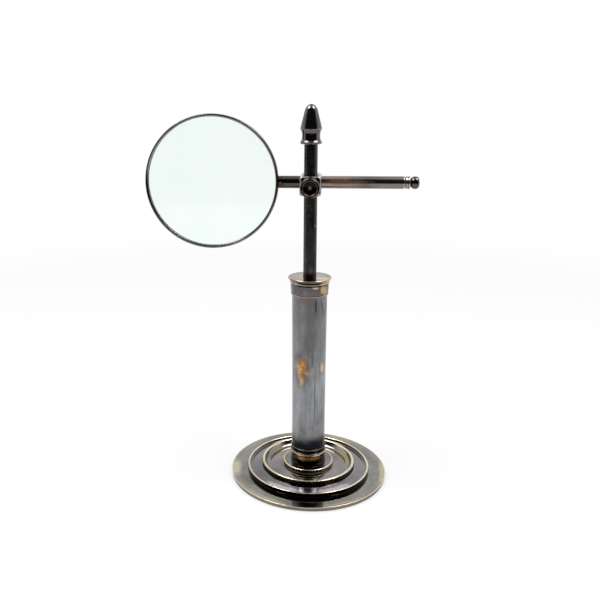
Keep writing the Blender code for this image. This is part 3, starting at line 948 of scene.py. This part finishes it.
def make_block(metal, block_centre, arm_centre):
    low, high = span("clamp_block")
    solid = bevelled_block("clamp_cube", low, high)
    post_bush = span("post_bush")[1].x
    arm_bush = (span("arm_bush")[1].y - span("arm_bush")[0].y) / 2
    half_high = high.z - block_centre.z
    half_wide = high.x
    bores = [
        (bore_outline(post_bush + GAP, -half_high, half_high, 0.35, ("low", "high")), "Z", block_centre),
        (bore_outline(arm_bush + GAP, -half_wide, half_wide, 0.35, ("low", "high")), "X", arm_centre),
        (bore_outline(SCREW_BORE_R, 5.0, -low.y, 0.3, ("high",)), "-Y", block_centre),
        (bore_outline(STUD_BORE_R, -high.y, -17.5, 0.3, ("low",)), "-Y", Vector((0, 0, arm_centre.z))),
    ]
    mesh = carved(solid, [lathe_object("tool", *bore) for bore in bores])
    wear = []
    for vertex in mesh.vertices:
        at = vertex.co / MM
        gaps = sorted(min(at[i] - low[i], high[i] - at[i]) for i in range(3))
        on_bevel = 0.02 < gaps[0] < BLOCK_BEVEL and gaps[1] < BLOCK_BEVEL
        wear.append(0.5 if on_bevel else 0.0)
    finish_mesh("clamp_cube", mesh, wear, metal, "block", ["clamp_block"])


def bush_outline(rod, radius, half):
    return closed([
        (rod + GAP, half, 0.12, 0.3),
        (radius, half, 0.15, 0.6),
        (radius, -half, 0.15, 0.6),
        (rod + GAP, -half, 0.12, 0.3),
    ])


FLUTES = 56
FLUTE_DEPTH = 0.22


def make_clamp(block_metal, knob_metal, brass, block_centre, arm_centre):
    make_block(block_metal, block_centre, arm_centre)
    low, high = span("clamp_knob")
    front = -low.y
    back = -high.y
    wide = high.x
    side_low = back + 1.6
    side_high = front - 2.2

    def knurled(radius, height, angle):
        if not side_low < height < side_high or radius < wide - 0.3:
            return radius
        ease = min(1.0, (height - side_low) / 0.4, (side_high - height) / 0.4)
        return radius - FLUTE_DEPTH * ease * (0.5 - 0.5 * math.cos(FLUTES * angle))

    side = [(wide, side_high - 0.4 - (side_high - side_low - 0.8) * i / 6, 0.12) for i in range(7)]
    outline = curve([
        (0, front - 1.9, 0.1),
        (1.2, front - 1.86),
        (3.2, front - 1.5),
        (4.5, front - 0.95),
        (4.85, front - 0.62),
        (5.15, front - 0.30, 0.3),
        (5.4, front - 0.16, 0.7),
        (5.65, front - 0.26, 0.3),
        (5.95, front - 0.42),
        (6.2, front - 0.24),
        (6.45, front - 0.04),
        (6.65, front - 0.02, 0.1),
        (6.85, front - 0.22, 0.55),
        (wide - 0.02, front - 0.6, 0.2),
        (wide, front - 1.2),
    ])
    outline += [(wide, side_high, 0), *side, (wide, side_low, 0)]
    outline += rounded([
        (wide, back + 1.2, 0, 0.1),
        (wide, back, 0.5, 0.5),
        (SCREW_BORE_R, back),
        (SCREW_BORE_R, 18.5),
        (0, 18.5),
    ])
    at = (0, 0, block_centre.z)
    steps = FLUTES * 8
    node = ["clamp_knob"]
    turned("fluted_knob", outline, knob_metal, "knob", node, "-Y", at, steps, shape=knurled)

    low, high = span("post_bush")
    outline = bush_outline(span("post")[1].x, high.x, (high.z - low.z) / 2)
    turned("split_post_bush", outline, brass, "slider", ["post_bush"], "Z", block_centre, 128, 9.5)
    low, high = span("arm_bush")
    rod_r = (span("arm_rod")[1].y - span("arm_rod")[0].y) / 2
    outline = bush_outline(rod_r, (high.y - low.y) / 2, high.x)
    turned("split_arm_bush", outline, brass, "tilter", ["arm_bush"], "X", arm_centre, 128, 11.0)


# ---------------------------------------------------------------- arm


def make_arm(rod_metal, ball_metal, arm_centre):
    low, high = span("arm_rod")
    radius = (high.y - low.y) / 2
    outline = rounded([
        (STUD_BORE_R, high.x),
        (radius, high.x, 0.3, 0.4),
        (radius, low.x, 0.1),
        (STUD_BORE_R, low.x),
        (STUD_BORE_R, low.x + 6.6),
        (0, low.x + 6.6),
    ])
    outline += [(0, high.x - 7.6, 0), (STUD_BORE_R, high.x - 7.6, 0)]
    turned("round_arm", outline, rod_metal, "arm", ["arm_rod"], "X", arm_centre, 128)

    low, high = span("arm_collar")
    wide = (high.y - low.y) / 2
    outline = closed([
        (STUD_BORE_R, high.x),
        (wide - 0.35, high.x, 0.3, 0.2),
        (wide, high.x - 0.65, 0.45, 0.6),
        (wide - 0.2, high.x - 1.3, 0.3, 0.2),
        (wide - 0.75, high.x - 1.55, 0.12),
        (wide - 0.2, high.x - 1.85, 0.3, 0.2),
        (wide - 0.02, high.x - 2.45, 0.45, 0.5),
        (wide - 0.25, high.x - 3.0, 0.3, 0.2),
        (wide - 0.7, high.x - 3.35, 0.2),
        (wide - 0.7, low.x - 0.25),
        (STUD_BORE_R, low.x - 0.25),
    ])
    turned("double_bead", outline, rod_metal, "arm", ["arm_collar"], "X", arm_centre, 112)

    low, high = span("arm_ball")
    wide = (high.y - low.y) / 2
    tip = high.x
    foot = low.x
    outline = curve([
        (0, tip),
        (1.4, tip - 0.04),
        (2.7, tip - 0.28),
        (3.8, tip - 0.85),
        (4.5, tip - 1.75),
        (wide, tip - 3.1),
        (4.62, tip - 4.4),
        (4.15, tip - 5.5),
        (3.4, tip - 6.25),
        (2.9, foot + 0.1),
    ])
    outline += [(2.8, foot, 0), (STUD_BORE_R, foot, 0), (STUD_BORE_R, foot + 3.9, 0), (0, foot + 3.9, 0)]
    turned("end_ball", outline, ball_metal, "arm", ["arm_ball"], "X", arm_centre, 112)


# ---------------------------------------------------------------- lens


LENS_RINGS = 40


def make_lens(ring_metal, saddle_metal, aged_brass, brass, glass, arm_centre):
    low, high = span("lens_ring")
    centre = (low + high) / 2
    radius = (high.x - low.x) / 2
    front = (high.y - low.y) / 2
    seat_r = radius - 1.15
    lip_r = radius - 2.25
    lens_low, lens_high = span("lens")
    lens_r = (lens_high.x - lens_low.x) / 2
    seat = 1.8
    outline = closed([
        (radius - 1.2, front, 0.4, 0.2),
        (radius - 0.35, front - 0.12, 0.4, 0.1),
        (radius, front - 0.9, 0.6),
        (radius, -front + 0.6, 0.6),
        (radius - 0.6, -front, 0.3, 0.2),
        (seat_r, -front, 0.15, 0.2),
        (seat_r, seat),
        (lip_r, seat, 0.1, 0.2),
        (lip_r, front - 0.7, 0.3, 0.5),
    ])
    turned("lens_rim", outline, ring_metal, "arm", ["lens_ring"], "-Y", centre, 360)

    low, high = span("lens_retainer")
    back = -(high.y - centre.y)
    face = -(low.y - centre.y)
    outline = closed([
        (lens_r, face, 0.1, 0.2),
        (lens_r, back, 0.15, 0.3),
        (lip_r, back, 0.2, 0.2),
        (lip_r - 0.1, face, 0.1, 0.2),
    ])
    turned("threaded_retainer", outline, aged_brass, "arm", ["lens_retainer"], "-Y", centre, 288)

    apex = centre.y - lens_low.y
    back_apex = centre.y - lens_high.y
    edge_front = 1.5
    sag = apex - edge_front
    ball_r = (lens_r**2 + sag**2) / (2 * sag)
    radii = [lens_r * i / LENS_RINGS for i in range(LENS_RINGS + 1)]
    bow = [(r, math.sqrt(ball_r**2 - r**2) - ball_r) for r in radii]
    outline = [(r, apex + z, 0) for r, z in bow]
    outline += [(r, back_apex - z, 0) for r, z in reversed(bow)]
    lens = turned("magnifier_lens", outline, glass, "arm", ["lens"], "-Y", centre, 256)
    lens.visible_shadow = False

    low, high = span("lens_saddle")
    rod_r = span("arm_rod")[1].y - arm_centre.y
    face_x = high.x + 0.25
    far_x = low.x - 1.0
    body = [(0, face_x), (rod_r, face_x, 0.25), (rod_r, far_x), (0, far_x)]
    saddle = lathe_object("ring_saddle", rounded(body), "X", arm_centre, 128)
    stud = lathe_object("tool", cylinder(STUD_BORE_R, low.x - 9, face_x + 1), "X", arm_centre)
    wall = lathe_object("tool_wall", cylinder(radius + 0.05, -9, 9), "-Y", centre, 720)
    pin_low, pin_high = span("saddle_pin")
    pin_x = (pin_low.x + pin_high.x) / 2
    pin_at = Vector((pin_x, arm_centre.y, arm_centre.z))
    hole = lathe_object("tool_pin", cylinder(0.6, 1.9, 7), "-Y", pin_at, 32)
    mesh = carved(saddle, [stud, wall, hole])
    wear = [0.0] * len(mesh.vertices)
    finish_mesh("ring_saddle", mesh, wear, saddle_metal, "arm", ["lens_saddle"])
    head = arm_centre.y - pin_low.y
    outline = curve([(0, head, 1), (0.25, head - 0.05, 1), (0.42, head - 0.2, 1), (0.5, head - 0.42, 1)])
    outline += [(0.5, 2.1, 1), (0, 2.1, 1)]
    turned("bright_pin", outline, brass, "arm", ["saddle_pin"], "-Y", pin_at, 32)


# ---------------------------------------------------------------- hidden pieces


def dress_hidden(steel, iron, brass):
    finishes = {
        "base_weight": iron,
        "base_washer": steel,
        "base_nut": steel,
        "tie_rod": steel,
        "coupling_nut": brass,
        "finial_stud": steel,
        "arm_grub": steel,
        "pressure_pad": brass,
        "clamp_screw": steel,
        "ball_stud": steel,
        "lens_stud": steel,
    }
    for name, material in finishes.items():
        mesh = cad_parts[name].data
        mesh.materials.clear()
        mesh.materials.append(material)


# ---------------------------------------------------------------- studio


def make_camera():
    data = bpy.data.cameras.new("camera")
    data.lens = LENS_MM
    data.sensor_width = 36.0
    data.shift_x, data.shift_y = SHIFT
    data.clip_start = 0.01
    data.clip_end = 20.0
    camera = placed("camera", data)
    turn = Matrix.Rotation(math.radians(TURN_LEFT), 4, "Z")
    pitch = Matrix.Rotation(math.radians(90 - LOOK_DOWN), 4, "X")
    roll = Matrix.Rotation(math.radians(ROLL), 4, "Z")
    camera.matrix_world = Matrix.Translation(Vector(EYE) * MM) @ turn @ pitch @ roll
    bpy.context.scene.camera = camera


def make_floor():
    """A pale disc that fades out at its rim."""
    work = bmesh.new()
    bmesh.ops.create_circle(work, cap_ends=True, segments=96, radius=FLOOR_R)
    floor = linked("floor", work)
    m = Shade("floor")
    m.set(Base_Color=(FLOOR_ALBEDO, FLOOR_ALBEDO, FLOOR_ALBEDO), Roughness=0.9, Specular_IOR_Level=0.0)
    m.set(Emission_Color=(1.0, 1.0, 1.0), Emission_Strength=FLOOR_GLOW)
    away = m.node("VectorMath", {0: m.place}, operation="LENGTH").outputs["Value"]
    fade = m.map(away, *FLOOR_FADE, smooth=True)
    clear = m.node("BsdfTransparent").outputs[0]
    blend = m.node("MixShader", {0: fade, 1: m.shader.outputs[0], 2: clear}).outputs[0]
    m.put(m.tree.nodes["Material Output"].inputs["Surface"], blend)
    floor.data.materials.append(m.material)


def make_world():
    """White all round, but for mirrored rays: to them the room is dark on the knob's side. What is seen
    through the lens stays white."""
    world = bpy.data.worlds.new("studio")
    bpy.context.scene.world = world
    world.use_nodes = True
    w = Nodes(world.node_tree)
    direction = w.node("TexCoord").outputs["Generated"]
    split = w.node("SeparateXYZ", {0: direction})
    side = w.map(split.outputs["Y"], *DARK_SIDE, DARK_ROOM, 1.0, smooth=True)
    ceiling = w.map(split.outputs["Z"], *CEILING, 0.0, CEILING_GLOW, smooth=True)
    mirrored = w.math("MAXIMUM", side, ceiling)
    path = w.node("LightPath")
    reflected = w.minus(1.0, path.outputs["Is Transmission Ray"])
    glossy = w.times(path.outputs["Is Glossy Ray"], reflected)
    value = w.plus(w.times(glossy, mirrored), w.minus(1.0, glossy))
    colour = w.node("CombineColor", {0: value, 1: value, 2: value}).outputs[0]
    background = w.tree.nodes["Background"]
    w.put(background.inputs["Color"], colour)
    w.put(background.inputs["Strength"], 1.0)


def softbox(name, at, aim=(0, 0, 0.15)):
    data = bpy.data.lights.new(name, "AREA")
    data.shape = "RECTANGLE"
    data.size, data.size_y = SOFTBOX_SIZE
    data.energy = SOFTBOX_WATTS
    light = placed(name, data)
    light.location = at
    light.rotation_euler = (Vector(aim) - Vector(at)).to_track_quat("-Z", "Y").to_euler()
    light.visible_camera = False


def make_studio():
    make_camera()
    make_floor()
    make_world()
    softbox("softbox_left", (-0.74, -0.14, 1.42))
    softbox("softbox_right", (0.76, -0.12, 1.42))
    bpy.context.scene.view_settings.view_transform = "Standard"


# ---------------------------------------------------------------- build


def main():
    make_studio()
    low, high = span("post_bush")
    block_centre = Vector((0, 0, (low.z + high.z) / 2))
    low, high = span("arm_bush")
    arm_centre = Vector((0, (low.y + high.y) / 2, (low.z + high.z) / 2))
    low, high = span("lens_ring")
    lens_centre = (low + high) / 2

    worn = (CREAM, PALE_CREAM)
    rosy = (ROSE, ROSE)
    silvery = (SILVER, SILVER)
    base_metal = patina(
        "base_bronze", (0.135, 0.134, 0.130), (0.290, 0.280, 0.262), *worn, 0.09, blotches=base_stains_and_highlights
    )
    ferrule_metal = patina(
        "ferrule_bronze", (0.010, 0.009, 0.010), (0.036, 0.030, 0.026), *worn, 0.12, blotches=ferrule_stains
    )
    skirt_metal = patina(
        "skirt_bronze", (0.066, 0.062, 0.070), (0.150, 0.138, 0.146), BRASS, CREAM, 0.16, blotches=skirt_stains_and_highlight
    )
    cap_metal = patina(
        "cap_bronze", (0.135, 0.132, 0.127), (0.240, 0.232, 0.220), *worn, 0.12, blotches=cap_stains_reflection_and_shade
    )
    post_metal = patina(
        "post_bronze", (0.022, 0.022, 0.023), (0.060, 0.058, 0.057), COPPER, CREAM, 0.26, blotches=post_stains
    )
    finial_metal = patina("finial_bronze", (0.080, 0.079, 0.082), (0.145, 0.139, 0.142), *rosy, 0.13)
    block_metal = patina("block_bronze", (0.022, 0.021, 0.021), (0.050, 0.047, 0.045), *silvery, 0.14)
    about = ("-Y", block_centre)
    knob_metal = patina(
        "knob_bronze", (0.008, 0.007, 0.007), (0.024, 0.020, 0.017), *rosy, 0.16, *about, blotches=knob_dish_highlight
    )
    about = ("X", arm_centre)
    arm_metal = patina(
        "arm_bronze", (0.120, 0.108, 0.100), (0.230, 0.205, 0.188), *worn, 0.12, *about, blotches=arm_stains
    )
    ball_metal = patina(
        "ball_bronze", (0.040, 0.036, 0.036), (0.100, 0.088, 0.088), CREAM, CREAM, 0.10, *about
    )
    about = ("-Y", lens_centre)
    ring_metal = patina(
        "ring_bronze", (0.085, 0.086, 0.082), (0.180, 0.182, 0.174), *silvery, 0.14, *about, warm=0.05
    )
    brass = plated("turned_brass", (0.34, 0.22, 0.09), BRASS, 0.28)
    steel = plated("plated_steel", (0.30, 0.30, 0.31), (0.56, 0.55, 0.53), 0.30)
    aged = plated("aged_brass", (0.060, 0.054, 0.044), (0.130, 0.115, 0.090), 0.26)
    iron = plated("cast_iron", (0.045, 0.042, 0.040), (0.110, 0.105, 0.100), 0.55, 0.3)

    make_base(base_metal)
    make_felt(felt_cloth())
    make_column(ferrule_metal, tube_patina(), skirt_metal, cap_metal)
    make_post(post_metal, finial_metal)
    make_clamp(block_metal, knob_metal, brass, block_centre, arm_centre)
    make_arm(arm_metal, ball_metal, arm_centre)
    make_lens(ring_metal, ball_metal, aged, brass, lens_glass(), arm_centre)
    dress_hidden(steel, iron, brass)


main()
